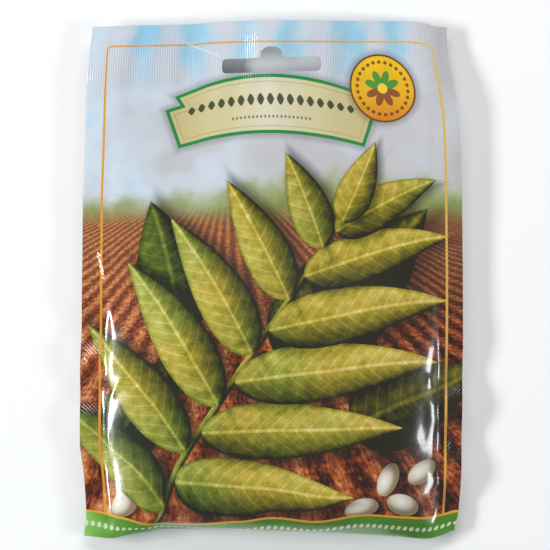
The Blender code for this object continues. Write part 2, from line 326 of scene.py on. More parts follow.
def near_slot(i, j, size):
    """True if the slot's outline may cross the block with this corner, in millimetres."""
    if abs(i + size / 2 - WIDTH / 2) > SLOT_OUT or not SLOT_LOW < j < SLOT_HIGH:
        return False
    u = (i + size / 2) * PER_MM
    v = (j + size / 2) * PER_MM
    x, y = place_of(np.array([u]), np.array([v]))[2:]
    return bool(nearest_on(slot_line, x, y)[2][0] < 0.85 * size)


def blocks_outside():
    """Blocks of the outer face: fine in the patterned seals, a millimetre elsewhere."""
    made = []
    for j in range(int(HEIGHT)):
        for i in range(int(WIDTH)):
            out = abs(i + 0.5 - WIDTH / 2)
            if j >= HEIGHT - TOP_SEAL - 1:
                close = near_slot(i, j, 1)
                made.append((i, j, 1, 5, 5 if close else 1))
            elif out > WIDTH / 2 - FINE_SEAL:
                made.append((i, j, 1, 5, 5))
            else:
                made.append((i, j, 1, 1, 1))
    return made


def blocks_inside():
    """Blocks of the unseen inner face: two millimetres, but fine round the slot."""
    made = []
    for j in range(0, int(HEIGHT), 2):
        for i in range(0, int(WIDTH), 2):
            if near_slot(i, j, 2):
                made += [(i + a, j + b, 1, 5, 5) for a in (0, 1) for b in (0, 1)]
            else:
                made.append((i, j, 2, 1, 1))
    return made


def cells_of(blocks, present):
    """The corners of each block's cells, marking their lattice points as present."""
    cells = []
    for i, j, size, cuts_x, cuts_y in blocks:
        step_x = size * PER_MM // cuts_x
        step_y = size * PER_MM // cuts_y
        for a in range(cuts_x):
            for b in range(cuts_y):
                u = i * PER_MM + a * step_x
                v = j * PER_MM + b * step_y
                cells.append((u, v, u + step_x, v + step_y))
    corners = np.array(cells)
    for u, v in ((0, 1), (2, 1), (2, 3), (0, 3)):
        present[corners[:, v], corners[:, u]] = True
    return corners


def outside_slot(cells):
    """The cells whose middles are not inside the slot."""
    middle_u = (cells[:, 0] + cells[:, 2]) / 2
    middle_v = (cells[:, 1] + cells[:, 3]) / 2
    x, y = place_of(middle_u, middle_v)[2:]
    return cells[~inside(slot_line, x, y)]


def walk(cell, present):
    """The lattice points round a cell, with every one that a neighbour needs on its sides."""
    u0, v0, u1, v1 = cell
    ring = [(u, v0) for u in range(u0, u1) if present[v0, u]]
    ring += [(u1, v) for v in range(v0, v1) if present[v, u1]]
    ring += [(u, v1) for u in range(u1, u0, -1) if present[v1, u]]
    ring += [(u0, v) for v in range(v1, v0, -1) if present[v, u0]]
    return ring


def film_mesh(name, front):
    """One ply of the packet as a closed thin shell, with its sheet places kept in a UV map."""
    faces = []
    points = []
    number = {}

    def vertex(u, v, outer):
        key = (u, v, outer)
        if key not in number:
            number[key] = len(points)
            points.append(key)
        return number[key]

    present = np.zeros((UP + 1, ACROSS + 1), bool)
    outer_cells = outside_slot(cells_of(blocks_outside(), present))
    edges = set()
    for cell in outer_cells.tolist():
        ring = walk(cell, present)
        edges.update(zip(ring, ring[1:] + ring[:1]))
        face = [vertex(u, v, 1) for u, v in ring]
        faces.append(face if front else face[::-1])
    rim = [(a, b) for a, b in edges if (b, a) not in edges]
    hidden = np.zeros_like(present)
    inner_cells = outside_slot(cells_of(blocks_inside(), hidden))
    for a, b in rim:
        hidden[a[1], a[0]] = True
    for cell in inner_cells.tolist():
        face = [vertex(u, v, 0) for u, v in walk(cell, hidden)]
        faces.append(face[::-1] if front else face)
    for a, b in rim:
        face = [vertex(*b, 1), vertex(*a, 1), vertex(*a, 0), vertex(*b, 0)]
        faces.append(face if front else face[::-1])

    u, v, outer = np.array(points).T
    s, t, x, y = place_of(u, v)
    round_slot = np.zeros(len(points), bool)
    for a, b in rim:
        if 0 < a[0] < ACROSS and 0 < a[1] < UP:
            for side in (0, 1):
                round_slot[number[(*a, side)]] = True
    near_x, near_y, gap = nearest_on(slot_line, x, y)
    round_slot &= gap < SLOT_REACH
    x = np.where(round_slot, near_x, x)
    y = np.where(round_slot, near_y, y)
    upper, lower = film_faces(s, t)
    shared = small_shape(s, t)
    if front:
        keep = smooth(0.0, 3.0, t)
        z = upper + shared + crease_shape(s, t) * keep - PLY * (1 - outer)
    else:
        rest = smooth(0.15, 0.45, fill(s, t))
        z = lower + shared * (1 - rest) + PLY * (1 - outer)
    mesh = bpy.data.meshes.new(name)
    mesh.from_pydata(np.stack([x, y, z], axis=1) / 1000, [], faces)
    mesh.polygons.foreach_set("use_smooth", np.ones(len(faces), bool))
    flat = mesh.attributes.new("flat", "FLOAT_VECTOR", "POINT")
    flat.data.foreach_set("vector", np.stack([s, t, outer], axis=1).astype(np.float32).ravel())
    corner = np.empty(len(mesh.loops), np.int32)
    mesh.loops.foreach_get("vertex_index", corner)
    slid = t + print_slide(s, t) if front else t
    sheet = np.stack([s, slid], axis=1)[corner]
    mesh.uv_layers.new(name="Sheet").uv.foreach_set("vector", sheet.astype(np.float32).ravel())
    packed = (np.stack([s + WIDTH / 2, t], axis=1)[corner]) / HEIGHT * 0.98 + 0.01
    mesh.uv_layers.new(name="OFBake").uv.foreach_set("vector", packed.astype(np.float32).ravel())
    piece = bpy.data.objects.new(name, mesh)
    bpy.context.scene.collection.objects.link(piece)
    return piece


def add(tree, kind, *values, out=0, sockets=(), **settings):
    """Adds one node with its settings, inputs and links, and gives back one of its outputs.

    A word before the inputs is the sum that the node does.
    """
    made = tree.nodes.new(kind)
    if values and isinstance(values[0], str):
        made.operation, *values = values
    for name, value in settings.items():
        setattr(made, name, value)
    for where, value in [*enumerate(values), *dict(sockets).items()]:
        if value is None:
            continue
        if isinstance(value, bpy.types.NodeSocket):
            tree.links.new(value, made.inputs[where])
        else:
            made.inputs[where].default_value = value
    return made.outputs[out] if len(made.outputs) else made


def colour(code):
    """A linear colour from its sRGB hex code."""
    parts = [int(code[k:k + 2], 16) / 255 for k in (1, 3, 5)]
    return (*[p / 12.92 if p <= 0.04045 else ((p + 0.055) / 1.055) ** 2.4 for p in parts], 1.0)


def stops(ramp, *pairs):
    """Sets a colour ramp's stops, each a place and a colour."""
    elements = ramp.node.color_ramp.elements
    while len(elements) > len(pairs):
        elements.remove(elements[-1])
    while len(elements) < len(pairs):
        elements.new(1.0)
    for element, (place, code) in zip(elements, pairs):
        element.position = place
        element.color = colour(code)
    return ramp


MATH = "ShaderNodeMath"
RANGE = "ShaderNodeMapRange"
MIX = "ShaderNodeMix"
MAP = "ShaderNodeMapping"
NOISE = "ShaderNodeTexNoise"
RAMP = "ShaderNodeValToRGB"
PARTS = "ShaderNodeSeparateXYZ"
VECTOR = "ShaderNodeVectorMath"
INK = {"out": 2, "data_type": "RGBA"}
SOFT = {"interpolation_type": "SMOOTHSTEP"}


def off(tree, value, middle):
    """How far the value is from the middle, on either side."""
    gap = add(tree, MATH, "SUBTRACT", value, middle)
    return add(tree, MATH, "ABSOLUTE", gap)


def beads(tree, place, pitch):
    """A row of beads, one every pitch along the place: 1 at each middle and 0 halfway between."""
    turn = add(tree, MATH, "MULTIPLY", place, math.pi / pitch)
    turn = add(tree, MATH, "SINE", turn)
    return add(tree, MATH, "ABSOLUTE", turn)


def faded(tree, pattern, value, limit, width):
    """The pattern, brought in over the width once the value passes the limit."""
    past = add(tree, MATH, "SUBTRACT", value, limit)
    past = add(tree, RANGE, past, 0.0, width, 0.0, 1.0)
    return add(tree, MATH, "MULTIPLY", pattern, past)


def seal_pattern():
    """Geometry nodes that press the crimp ribs and the diagonal hatch into the seals."""
    tree = bpy.data.node_groups.new("seal pattern", "GeometryNodeTree")
    tree.interface.new_socket("Geometry", in_out="INPUT", socket_type="NodeSocketGeometry")
    for name in ("Rib pitch", "Rib height", "Rib start", "Rib end", "Hatch pitch",
                 "Hatch height", "Hatch start", "Hatch end"):
        tree.interface.new_socket(name, in_out="INPUT", socket_type="NodeSocketFloat")
    tree.interface.new_socket("Film", in_out="INPUT", socket_type="NodeSocketMaterial")
    tree.interface.new_socket("Geometry", in_out="OUTPUT", socket_type="NodeSocketGeometry")
    given = tree.nodes.new("NodeGroupInput").outputs
    flat = add(tree, "GeometryNodeInputNamedAttribute", data_type="FLOAT_VECTOR",
               sockets={"Name": "flat"})
    s, t, outer = add(tree, PARTS, flat).node.outputs
    out = add(tree, MATH, "ABSOLUTE", s)

    rib = add(tree, MATH, "DIVIDE", s, given["Rib pitch"])
    rib = add(tree, MATH, "MULTIPLY", rib, 2 * math.pi)
    rib = add(tree, MATH, "SINE", rib)
    rib = add(tree, RANGE, rib, -1.0, 1.0, 0.0, given["Rib height"])
    rib = faded(tree, rib, t, given["Rib start"], 1.0)
    rib = faded(tree, rib, given["Rib end"], t, 0.6)

    slant = add(tree, MATH, "SUBTRACT", out, t)
    slant = add(tree, MATH, "DIVIDE", slant, given["Hatch pitch"])
    slant = add(tree, MATH, "MULTIPLY", slant, 2 * math.pi)
    hatch = add(tree, MATH, "SINE", slant)
    hatch = add(tree, RANGE, hatch, -1.0, 1.0, 0.0, given["Hatch height"])
    hatch = faded(tree, hatch, out, given["Hatch start"], 0.5)
    hatch = faded(tree, hatch, given["Hatch end"], out, 0.4)
    hatch = faded(tree, hatch, given["Rib start"], t, 1.5)

    lift = add(tree, MATH, "ADD", rib, hatch)
    lift = add(tree, MATH, "MULTIPLY", lift, outer)
    lift = add(tree, MATH, "MULTIPLY", lift, 0.001)
    normal = add(tree, "GeometryNodeInputNormal")
    shift = add(tree, VECTOR, "SCALE", normal, sockets={"Scale": lift})
    made = add(tree, "GeometryNodeSetPosition", given["Geometry"], sockets={"Offset": shift})
    made = add(tree, "GeometryNodeRealizeInstances", made)
    made = add(tree, "GeometryNodeSetMaterial", made, sockets={"Material": given["Film"]})
    end = tree.nodes.new("NodeGroupOutput")
    tree.links.new(made, end.inputs[0])
    return tree


def pressed(piece, tree, film, **sizes):
    """The piece with the seal pattern pressed in, as a plain mesh."""
    modifier = piece.modifiers.new("Seal pattern", "NODES")
    modifier.node_group = tree
    for item in tree.interface.items_tree:
        if item.in_out == "INPUT" and item.name in sizes:
            modifier[item.identifier] = sizes[item.name]
        if item.in_out == "INPUT" and item.name == "Film":
            modifier[item.identifier] = film
    graph = bpy.context.evaluated_depsgraph_get()
    made = bpy.data.meshes.new_from_object(piece.evaluated_get(graph))
    piece.modifiers.remove(modifier)
    made.name = piece.name
    piece.data = made
    made.set_sharp_from_angle(angle=math.radians(SHARP_ANGLE))
    return piece


def printed_leaf():
    """A group that lays one printed leaf over those under it: its tone, cover and shadow."""
    tree = bpy.data.node_groups.new("printed leaf", "ShaderNodeTree")
    for name, kind in (("Under", "Float"), ("Cover", "Float"), ("Shade", "Float"),
                       ("Sheet", "Vector"), ("Grain", "Float"), ("Foot", "Vector"),
                       ("Turn", "Vector"), ("Size", "Vector"), ("Bend", "Float"),
                       ("Tone", "Float"), ("Veins", "Float")):
        tree.interface.new_socket(name, in_out="INPUT", socket_type="NodeSocket" + kind)
    for name in ("Tone", "Cover", "Shade"):
        tree.interface.new_socket(name, in_out="OUTPUT", socket_type="NodeSocketFloat")
    given = tree.nodes.new("NodeGroupInput").outputs
    spot = add(tree, MAP, given["Sheet"], given["Foot"], given["Turn"], given["Size"],
               vector_type="TEXTURE")
    u, v = add(tree, PARTS, spot).node.outputs[:2]
    left = add(tree, MATH, "SUBTRACT", 1.0, u)
    hump = add(tree, MATH, "MULTIPLY", u, left)
    v = add(tree, MATH, "MULTIPLY_ADD", hump, given["Bend"], v)
    root = add(tree, MATH, "SQRT", u)
    half = add(tree, MATH, "MULTIPLY", root, left)
    behind = add(tree, MATH, "MINIMUM", u, 0.0)
    half = add(tree, MATH, "MULTIPLY_ADD", half, 2.6, behind)
    side = add(tree, MATH, "ABSOLUTE", v)
    edge = add(tree, MATH, "SUBTRACT", half, side)
    leaf = add(tree, RANGE, edge, 0.0, 0.05, 0.0, 1.0, **SOFT)
    low = add(tree, MATH, "ADD", v, 0.22)
    low = add(tree, MATH, "ABSOLUTE", low)
    shade = add(tree, MATH, "SUBTRACT", half, low)
    shade = add(tree, RANGE, shade, -0.4, 0.3, 0.0, 0.75, **SOFT)

    # The lit half, then a rounded shine a third of the way out, then the dark far edge.
    wide = add(tree, MATH, "MAXIMUM", half, 0.08)
    across = add(tree, MATH, "DIVIDE", v, wide)
    tone = add(tree, MATH, "MULTIPLY_ADD", across, 0.17, given["Tone"])
    shine = add(tree, MATH, "SUBTRACT", across, 0.42)
    shine = add(tree, MATH, "MULTIPLY", shine, shine)
    tone = add(tree, MATH, "MULTIPLY_ADD", shine, -0.20, tone)
    tone = add(tree, MATH, "ADD", tone, given["Grain"])
    foot = add(tree, RANGE, u, 0.0, 0.45, -0.16, 0.0)
    tone = add(tree, MATH, "ADD", tone, foot)
    # Veins bow towards the tip, about 4 mm apart, with a pale midrib and a dark rim.
    bow = add(tree, MATH, "MULTIPLY", side, side)
    run = add(tree, MATH, "MULTIPLY_ADD", side, -0.10, u)
    run = add(tree, MATH, "MULTIPLY_ADD", bow, -0.07, run)
    run = add(tree, MATH, "MULTIPLY", run, given["Veins"])
    vein = add(tree, MATH, "SINE", run)
    vein = add(tree, RANGE, vein, 0.75, 1.0, 0.0, 0.09, **SOFT)
    tone = add(tree, MATH, "ADD", tone, vein)
    rib = add(tree, RANGE, side, 0.02, 0.085, 0.20, 0.0, **SOFT)
    tone = add(tree, MATH, "ADD", tone, rib)
    rim = add(tree, RANGE, edge, 0.0, 0.20, 0.20, 0.0, **SOFT)
    tone = add(tree, MATH, "SUBTRACT", tone, rim)

    under = add(tree, MATH, "MULTIPLY_ADD", shade, -0.42, given["Under"])
    end = tree.nodes.new("NodeGroupOutput")
    tree.links.new(add(tree, MIX, leaf, None, under, tone), end.inputs[0])
    tree.links.new(add(tree, MATH, "MAXIMUM", given["Cover"], leaf), end.inputs[1])
    tree.links.new(add(tree, MATH, "MAXIMUM", given["Shade"], shade), end.inputs[2])
    return tree


# The printed landscape: the horizon's place, the soil rows' vanishing point and their spread.
HORIZON = 118.0
ROWS_MEET = 14.0
ROW_SPREAD = 52.0

# The gold line's middle and half size. The green band's upper edge, the gold line along it, and
# its bead row's height and pitch.
LINE_MIDDLE = (0.5, 55.0, 0.0)
LINE_HALF = (54.5, 100.5, 0.0)
BAND_TOP = 7.9
BAND_LINE = 8.2
BAND_BEADS = 4.3
BAND_PITCH = 2.1

# The arched panel: foot and head above the fold, the step's height, and its two rows.
PANEL_FOOT = 127.3
PANEL_HEAD = 145.6
PANEL_STEP = 13.4
LOZENGE_PITCH = 3.2
LOZENGE_RISE = 10.6
DOT_PITCH = 1.3
DOT_RISE = 5.2

# The round emblem: its middle, the radii of its rim, face and ring, and how many of each.
DISC_MIDDLE = (36.4, 141.0, 0.0)
DISC_RIM = 10.6
DISC_FACE = 10.0
DISC_RING = 8.2
DISC_BEADS = 26
PETALS = 8

# The soft blue bands of the top seal, painted reflections over printed blue, one every so far.
TINT_PITCH = 16.9

# The chart on the back: its lower left corner, one cell's size, and half its cells each way.
CHART_CORNER = (-42.0, 62.0, 0.0)
CELL_WIDTH = 14.0
CELL_HEIGHT = 12.0
HALF_ACROSS = 3.0
HALF_UP = 1.0

# Printed leaves: foot of the leaf s and t, direction in degrees, length, half width, bend, tone.
LEAVES = (
    (2, 58, 44, 66, 17.0, 0.3, -0.34), (24, 36, 20, 46, 14.0, -0.3, -0.30),
    (-28, 64, 104, 44, 12.0, 0.3, -0.26), (-54, 22, 52, 46, 12.0, -0.3, -0.30),
    (-41, 2, 57, 136, 1.1, -6.0, 0.02),
    (-34, 14, 140, 46, 8.2, 0.5, 0.02), (-30, 19, -5, 56, 8.6, -0.6, 0.10),
    (-26, 28, 129, 52, 8.6, 0.5, 0.05), (-21, 34, 1, 62, 9.0, -0.6, 0.12),
    (-16, 43, 124, 54, 8.8, 0.5, 0.08), (-11, 50, 5, 64, 9.2, -0.6, 0.14),
    (-6, 59, 122, 50, 8.6, 0.5, 0.07), (-1, 66, 9, 58, 8.8, -0.6, 0.10),
    (5, 76, 118, 42, 7.8, 0.4, 0.08), (10, 83, 15, 48, 8.0, -0.5, 0.08),
    (16, 92, 112, 32, 6.8, 0.4, 0.05), (20, 97, 26, 36, 6.8, -0.4, 0.04),
    (22, 100, 66, 27, 6.0, 0.2, 0.08),
)

# Printed seeds lying on the soil: middle s and t, direction in degrees.
SEEDS = ((27.5, 10.9, 8), (35.5, 19.5, 66), (40.5, 12, -15), (46.5, 21.5, 30), (-47, 12.5, 40))


def printed_field(tree, sheet):
    """The printed ground: soil rows that run to a low horizon of hazy hills, and the sky."""
    s, t = add(tree, PARTS, sheet).node.outputs[:2]
    # Soft cloud, about 30 mm across on the sheet.
    cloud = add(tree, NOISE, sheet, sockets={"Scale": 0.035, "Detail": 3.0, "Roughness": 0.45})
    height = add(tree, RANGE, t, 104.0, 162.0, 0.0, 0.35)
    cloud = add(tree, MATH, "MULTIPLY_ADD", cloud, 1.7, height)
    cloud = add(tree, MATH, "MULTIPLY_ADD", s, -0.0040, cloud)
    cloud = add(tree, MATH, "DIVIDE", cloud, 1.4)
    sky = add(tree, RAMP, cloud)
    stops(sky, (0.40, "#B9B7B7"), (0.62, "#C2C2C5"), (0.76, "#CAD1DA"), (0.88, "#CCDAE5"),
          (1.0, "#B6D2E3"))
    sky.node.color_ramp.interpolation = "EASE"

    # Rolling hills: the line between hill and sky is one long wave with small rough ones.
    swing = add(tree, MATH, "MULTIPLY_ADD", s, 0.045, 0.6)
    swing = add(tree, MATH, "SINE", swing)
    hill = add(tree, MATH, "MULTIPLY_ADD", swing, 4.0, 108.0)
    rough = add(tree, NOISE, sheet, sockets={"Scale": 0.12, "Detail": 5.0})
    hill = add(tree, MATH, "MULTIPLY_ADD", rough, 8.0, hill)
    over = add(tree, MATH, "SUBTRACT", hill, t)
    on_hill = add(tree, RANGE, over, -2.0, 4.0, 0.0, 1.0, **SOFT)
    hill_tone = add(tree, RANGE, over, 0.0, 18.0, 0.0, 0.7)
    hill_tone = add(tree, MATH, "MULTIPLY_ADD", rough, 0.4, hill_tone)
    green = add(tree, RAMP, hill_tone)
    stops(green, (0.15, "#B9BFA6"), (0.5, "#8E9A5C"), (0.75, "#707A38"), (1.0, "#545A28"))
    back = add(tree, MIX, **INK, sockets={0: on_hill, 6: sky, 7: green})

    # Soil rows spread from a point on the horizon, eight or so across the foot of the sheet.
    drop = add(tree, MATH, "SUBTRACT", HORIZON, t)
    drop = add(tree, MATH, "MAXIMUM", drop, 3.0)
    aside = add(tree, MATH, "ADD", s, ROWS_MEET)
    fan = add(tree, MATH, "DIVIDE", aside, drop)
    deep = add(tree, MATH, "DIVIDE", 180.0, drop)
    lumps = add(tree, "ShaderNodeCombineXYZ", fan, deep, 0.0)
    clod = add(tree, NOISE, lumps, sockets={"Scale": 9.0, "Detail": 6.0, "Roughness": 0.66})
    turn = add(tree, MATH, "MULTIPLY", clod, 3.4)
    turn = add(tree, MATH, "MULTIPLY_ADD", fan, ROW_SPREAD, turn)
    row = add(tree, MATH, "SINE", turn)
    crumb = add(tree, "ShaderNodeTexVoronoi", lumps, sockets={"Scale": 30.0, "Randomness": 1.0})
    grit = add(tree, NOISE, sheet, sockets={"Scale": 0.9, "Detail": 7.0, "Roughness": 0.74})
    streak = add(tree, VECTOR, "MULTIPLY", lumps, (60.0, 7.0, 1.0))
    streak = add(tree, NOISE, streak, sockets={"Scale": 1.6, "Detail": 5.0, "Roughness": 0.7})
    tone = add(tree, MATH, "MULTIPLY_ADD", row, 0.18, -0.48)
    tone = add(tree, MATH, "MULTIPLY_ADD", crumb, -0.30, tone)
    tone = add(tree, MATH, "MULTIPLY_ADD", grit, 0.90, tone)
    tone = add(tree, MATH, "MULTIPLY_ADD", streak, 1.3, tone)
    tone = add(tree, MATH, "MULTIPLY_ADD", s, -0.0016, tone)
    soil = add(tree, RAMP, tone)
    stops(soil, (0.10, "#190A05"), (0.28, "#451A0A"), (0.46, "#823613"), (0.62, "#AF5A27"),
          (0.80, "#D08A54"), (1.0, "#E8BE8E"))
    haze = add(tree, RANGE, t, 66.0, 108.0, 0.0, 0.26)
    soil = add(tree, MIX, **INK, sockets={0: haze, 6: soil, 7: colour("#A98B60")})
    ground = add(tree, RANGE, t, 98.0, 106.0, 1.0, 0.0, **SOFT)
    return add(tree, MIX, **INK, sockets={0: ground, 6: back, 7: soil})


def printed_seeds(tree, under, sheet):
    """Prints the seeds, each a rounded cream oval with its shadow."""
    tone = 0.0
    cover = 0.0
    shade = 0.0
    for place_s, place_t, turn in SEEDS:
        spot = add(tree, MAP, sheet, (place_s, place_t, 0.0), (0.0, 0.0, math.radians(turn)),
                   (5.2, 3.0, 1.0), vector_type="TEXTURE")
        far = add(tree, VECTOR, "LENGTH", spot, out=1)
        low = add(tree, VECTOR, "DISTANCE", spot, (0.12, -0.22, 0.0), out=1)
        cast = add(tree, RANGE, low, 0.85, 1.35, 0.8, 0.0, **SOFT)
        lit = add(tree, VECTOR, "DISTANCE", spot, (-0.2, 0.3, 0.0), out=1)
        oval = add(tree, RANGE, far, 0.97, 1.03, 1.0, 0.0)
        tone = add(tree, MIX, oval, None, tone, lit)
        cover = add(tree, MATH, "MAXIMUM", cover, oval)
        shade = add(tree, MATH, "MAXIMUM", shade, cast)
    made = add(tree, MIX, **INK, sockets={0: shade, 6: under, 7: colour("#1C110C")})
    skin = add(tree, RAMP, tone)
    stops(skin, (0.1, "#EFEBE4"), (0.6, "#D6CDB8"), (1.0, "#8F7D5C"))
    return add(tree, MIX, **INK, sockets={0: cover, 6: made, 7: skin})


def printed_line(tree, under, sheet):
    """Prints the gold line round a rounded box, wider and more orange at its sides."""
    s, t = add(tree, PARTS, sheet).node.outputs[:2]
    corner = add(tree, RANGE, s, -10.0, 10.0, 0.9, 2.2)
    away = add(tree, VECTOR, "SUBTRACT", sheet, LINE_MIDDLE)
    away = add(tree, VECTOR, "ABSOLUTE", away)
    away = add(tree, VECTOR, "SUBTRACT", away, LINE_HALF)
    away = add(tree, VECTOR, "ADD", away, corner)
    away = add(tree, VECTOR, "MAXIMUM", away, (0.0, 0.0, 0.0))
    away = add(tree, VECTOR, "MULTIPLY", away, (1.0, 1.0, 0.0))
    gap = add(tree, VECTOR, "LENGTH", away, out=1)
    gap = off(tree, gap, corner)
    wide = add(tree, RANGE, t, 140.0, 155.0, 0.38, 0.27)
    gap = add(tree, MATH, "SUBTRACT", gap, wide)
    line = add(tree, RANGE, gap, -0.07, 0.07, 1.0, 0.0)
    tone = add(tree, MATH, "MULTIPLY_ADD", t, 108.0 / 155.0, s)
    tone = add(tree, RANGE, tone, -54.0, 162.0, 0.0, 1.0)
    gold = add(tree, RAMP, tone)
    stops(gold, (0.0, "#EB962E"), (0.45, "#DE9A40"), (0.7, "#CFA252"), (1.0, "#D9B640"))
    return add(tree, MIX, **INK, sockets={0: line, 6: under, 7: gold})


def printed_panel(tree, under, sheet):
    """The arched cream panel: green edge, fine inner line, a row of lozenges and one of dots."""
    s, t = add(tree, PARTS, sheet).node.outputs[:2]
    s = add(tree, MATH, "ADD", s, 0.4)
    bow = add(tree, MATH, "MULTIPLY", s, s)
    out = add(tree, MATH, "ABSOLUTE", s)
    foot = add(tree, MATH, "MULTIPLY_ADD", bow, 0.0050, -PANEL_FOOT)
    rise = add(tree, MATH, "ADD", t, foot)
    head = add(tree, MATH, "MULTIPLY_ADD", bow, 0.0067, -PANEL_HEAD)
    head = add(tree, MATH, "ADD", t, head)
    # Lower band: sides lean out to the points. Upper band: set back, above a small step.
    lean = add(tree, MATH, "MULTIPLY_ADD", rise, -0.33, -29.7)
    lean = add(tree, MATH, "ADD", out, lean)
    below = add(tree, MATH, "MULTIPLY", rise, -1.0)
    above = add(tree, MATH, "SUBTRACT", rise, PANEL_STEP)
    lower = add(tree, MATH, "MAXIMUM", lean, below)
    lower = add(tree, MATH, "MAXIMUM", lower, above)
    lean = add(tree, MATH, "MULTIPLY_ADD", rise, -0.55, -21.8)
    lean = add(tree, MATH, "ADD", out, lean)
    below = add(tree, MATH, "SUBTRACT", 3.0, rise)
    upper = add(tree, MATH, "MAXIMUM", lean, head)
    upper = add(tree, MATH, "MAXIMUM", upper, below)
    gap = add(tree, MATH, "MINIMUM", lower, upper)

    cast = add(tree, RANGE, gap, 0.0, 2.6, 0.42, 0.0, **SOFT)
    made = add(tree, MIX, **INK, sockets={0: cast, 6: under, 7: colour("#5B5A4A")})
    edge = add(tree, RANGE, gap, -0.06, 0.06, 1.0, 0.0)
    made = add(tree, MIX, **INK, sockets={0: edge, 6: made, 7: colour("#1F8640")})
    # The cream print is painted palest in the middle, and darker and yellower towards the sides, as a
    # painted sheen.
    cream = add(tree, RANGE, out, 0.0, 30.0, 0.0, 1.0)
    cream = add(tree, RAMP, cream)
    stops(cream, (0.0, "#D8D2BA"), (0.4, "#D2C89C"), (1.0, "#C8B982"))
    face = add(tree, RANGE, gap, -1.12, -1.0, 1.0, 0.0)
    made = add(tree, MIX, **INK, sockets={0: face, 6: made, 7: cream})
    inner = off(tree, gap, -2.3)
    inner = add(tree, RANGE, inner, 0.10, 0.22, 0.5, 0.0)
    made = add(tree, MIX, **INK, sockets={0: inner, 6: made, 7: colour("#8C9A4A")})
    # A row of plain lozenges, smaller towards the ends, and a fine dotted row.
    turn = add(tree, MATH, "MULTIPLY", s, math.pi / LOZENGE_PITCH)
    turn = add(tree, MATH, "COSINE", turn)
    turn = add(tree, MATH, "ABSOLUTE", turn)
    size = add(tree, RANGE, out, 4.0, 27.0, 3.0, 1.9)
    level = off(tree, rise, LOZENGE_RISE)
    level = add(tree, MATH, "DIVIDE", level, size)
    shape = add(tree, MATH, "SUBTRACT", turn, level)
    shape = add(tree, RANGE, shape, 0.36, 0.44, 0.0, 0.92)
    short = add(tree, RANGE, out, 27.0, 27.3, 1.0, 0.0)
    shape = add(tree, MATH, "MULTIPLY", shape, short)
    made = add(tree, MIX, **INK, sockets={0: shape, 6: made, 7: colour("#26301C")})
    dots = beads(tree, s, DOT_PITCH)
    level = off(tree, rise, DOT_RISE)
    dots = add(tree, MATH, "SUBTRACT", dots, level)
    dots = add(tree, RANGE, dots, 0.40, 0.60, 0.0, 0.7)
    short = add(tree, RANGE, out, 13.0, 13.2, 1.0, 0.0)
    dots = add(tree, MATH, "MULTIPLY", dots, short)
    return add(tree, MIX, **INK, sockets={0: dots, 6: made, 7: colour("#3A4030")})


def printed_disc(tree, under, sheet):
    """The round gold emblem: an eight-petal rosette, half green and half brown, in beads."""
    spot = add(tree, MAP, sheet, DISC_MIDDLE, (0.0, 0.0, 0.0), (1.0, 1.0, 1.0),
               vector_type="TEXTURE")
    x, y = add(tree, PARTS, spot).node.outputs[:2]
    spread = add(tree, VECTOR, "MULTIPLY", spot, (1.0, 1.0, 0.0))
    far = add(tree, VECTOR, "LENGTH", spread, out=1)
    cast = add(tree, RANGE, far, 10.0, 13.4, 0.5, 0.0, **SOFT)
    made = add(tree, MIX, **INK, sockets={0: cast, 6: under, 7: colour("#4A4538")})
    disc = add(tree, RANGE, far, DISC_RIM, DISC_RIM + 0.12, 1.0, 0.0)
    made = add(tree, MIX, **INK, sockets={0: disc, 6: made, 7: colour("#6E4220")})
    glow = add(tree, RANGE, y, -10.0, 10.0, 0.0, 1.0)
    gold = add(tree, RAMP, glow)
    stops(gold, (0.0, "#CE7E1A"), (0.4, "#E4A914"), (1.0, "#EEC20C"))
    face = add(tree, RANGE, far, DISC_FACE, DISC_FACE + 0.12, 1.0, 0.0)
    made = add(tree, MIX, **INK, sockets={0: face, 6: made, 7: gold})
    turn = add(tree, MATH, "ARCTAN2", y, x)
    bead = beads(tree, turn, 2 * math.pi / DISC_BEADS)
    ring = add(tree, MATH, "SUBTRACT", far, DISC_RING)
    ring = add(tree, MATH, "MULTIPLY", ring, 1.2)
    ring = add(tree, MATH, "MULTIPLY", ring, ring)
    bead = add(tree, MATH, "SUBTRACT", bead, ring)
    bead = add(tree, RANGE, bead, 0.48, 0.62, 0.0, 0.9)
    made = add(tree, MIX, **INK, sockets={0: bead, 6: made, 7: colour("#6B3D1E")})
    petal = beads(tree, turn, 2 * math.pi / PETALS)
    reach = add(tree, MATH, "MULTIPLY_ADD", petal, 2.9, 2.9)
    petal = add(tree, MATH, "SUBTRACT", far, reach)
    petal = add(tree, RANGE, petal, -0.12, 0.12, 1.0, 0.0)
    half = add(tree, RANGE, y, -0.3, 0.3, 0.0, 1.0)
    tint = add(tree, MIX, **INK, sockets={0: half, 6: colour("#8B4F25"), 7: colour("#4E8F35")})
    made = add(tree, MIX, **INK, sockets={0: petal, 6: made, 7: tint})
    heart = add(tree, RANGE, far, 1.5, 1.7, 1.0, 0.0)
    return add(tree, MIX, **INK, sockets={0: heart, 6: made, 7: colour("#F0C840")})


